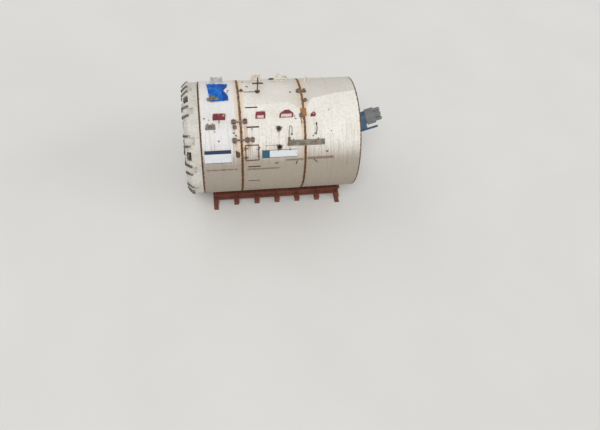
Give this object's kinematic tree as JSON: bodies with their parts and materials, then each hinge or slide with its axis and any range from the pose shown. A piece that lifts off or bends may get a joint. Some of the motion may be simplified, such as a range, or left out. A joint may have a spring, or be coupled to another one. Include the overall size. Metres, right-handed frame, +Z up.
{
  "type": "tunnel boring machine",
  "caption": "Earth pressure shield for tunnelling, with cutterhead, thrust jacks, segment erector and screw conveyor, on an assembly cradle.",
  "frame": {"origin": "on the floor, under the middle of the cradle's middle cross beam", "axes": "+X along the machine from cutterhead to tail, +Z up, +Y to the right when facing the cutterhead from behind"},
  "size_m": [12.0064, 6.64, 8.3673],
  "materials": {
    "paint": "weathered off-white paint with rust at the joints",
    "tool_steel": "hardened steel",
    "dark_steel": "dark forged steel",
    "rusty_steel": "rusted steel",
    "machine_grey": "grey machine enamel",
    "brush_wire": "greased wire brush",
    "rod_chrome": "ground and plated rod",
    "shoe_steel": "steel shoe with a worn pad",
    "erector_yellow": "yellow machine enamel",
    "screw_blue": "blue-grey machine enamel",
    "red_primer": "dark red primer",
    "board_grey": "weathered scaffold board",
    "board_blue": "plain navy name board",
    "tarpaulin_blue": "woven plastic tarpaulin",
    "cradle_primer": "red-brown primer"
  },
  "bodies": {
    "machine": {"front_shell": "paint", "bulkhead": "paint", "main_drive": "machine_grey", "drive_motors": "machine_grey", "man_lock": "paint", "front_joint": "rusty_steel", "middle_shell": "paint", "tail_joint": "rusty_steel", "tail_shell": "paint", "tail_brushes": "brush_wire", "thrust_ring": "paint", "thrust_barrels": "machine_grey", "articulation_jacks": "machine_grey", "middle_frame": "paint", "erector_beams": "paint", "screw_casing": "screw_blue", "screw_outlet": "screw_blue", "screw_drive": "machine_grey", "screw_hanger": "paint", "lifting_lugs": "red_primer", "shell_ports": "rusty_steel", "shell_brackets": "rusty_steel", "access_boards": "board_grey", "rail_post": "rusty_steel", "hatch_frame": "rusty_steel", "name_boards": "board_blue", "tarpaulin": "tarpaulin_blue", "cradle_cross_beams": "cradle_primer", "cradle_stringers": "cradle_primer", "cradle_saddles": "cradle_primer", "cradle_rails": "cradle_primer", "slide_bars": "machine_grey"},
    "cutterhead": {"cutter_rim": "paint", "cutter_spokes": "paint", "cutter_hub": "paint", "cutter_panels": "paint", "disc_cutters": "tool_steel", "cutter_saddles": "dark_steel", "face_scrapers": "tool_steel", "gauge_scrapers": "tool_steel", "mixing_bars": "rusty_steel", "drive_legs": "paint", "drive_ring": "machine_grey"},
    "lock_door": {"lock_door": "paint"},
    "thrust_top": {"rods_top": "rod_chrome", "shoes_top": "shoe_steel"},
    "thrust_left": {"rods_left": "rod_chrome", "shoes_left": "shoe_steel"},
    "thrust_bottom": {"rods_bottom": "rod_chrome", "shoes_bottom": "shoe_steel"},
    "thrust_right": {"rods_right": "rod_chrome", "shoes_right": "shoe_steel"},
    "erector_carriage": {"erector_carriage": "erector_yellow"},
    "erector_ring": {"erector_ring": "erector_yellow", "erector_guides": "erector_yellow"},
    "erector_head": {"erector_head": "erector_yellow"},
    "screw_gate": {"screw_gate": "screw_blue"},
    "auger": {"auger_shaft": "machine_grey", "auger_flight": "machine_grey"}
  },
  "joints": [
    {"name": "cutterhead_turn", "type": "hinge", "parent": "machine", "child": "cutterhead", "pos_m": [-4.55, 0, 3.95], "axis": [1, 0, 0], "continuous": true},
    {"name": "screw_turn", "type": "hinge", "parent": "machine", "child": "auger", "pos_m": [2.60009, 0, 3.95], "axis": [0.9272, 0, 0.3746], "continuous": true},
    {"name": "lock_door_hinge", "type": "hinge", "parent": "machine", "child": "lock_door", "pos_m": [-1.74, 0.39, 6.18], "axis": [0, 0, 1], "range_deg": [0, 100]},
    {"name": "thrust_top_slide", "type": "slide", "parent": "machine", "child": "thrust_top", "axis": [1, 0, 0], "range_m": [0, 2.1]},
    {"name": "thrust_left_slide", "type": "slide", "parent": "machine", "child": "thrust_left", "axis": [1, 0, 0], "range_m": [0, 2.1]},
    {"name": "thrust_bottom_slide", "type": "slide", "parent": "machine", "child": "thrust_bottom", "axis": [1, 0, 0], "range_m": [0, 2.1]},
    {"name": "thrust_right_slide", "type": "slide", "parent": "machine", "child": "thrust_right", "axis": [1, 0, 0], "range_m": [0, 2.1]},
    {"name": "erector_travel", "type": "slide", "parent": "machine", "child": "erector_carriage", "axis": [1, 0, 0], "range_m": [0, 1.5]},
    {"name": "erector_turn", "type": "hinge", "parent": "erector_carriage", "child": "erector_ring", "pos_m": [1.95, 0, 3.95], "axis": [1, 0, 0], "range_deg": [-200, 200]},
    {"name": "erector_reach", "type": "slide", "parent": "erector_ring", "child": "erector_head", "axis": [0, 0, -1], "range_m": [0, 0.5]},
    {"name": "gate_slide", "type": "slide", "parent": "machine", "child": "screw_gate", "axis": [0.9272, 0, 0.3746], "range_m": [0, 0.64]}
  ]
}
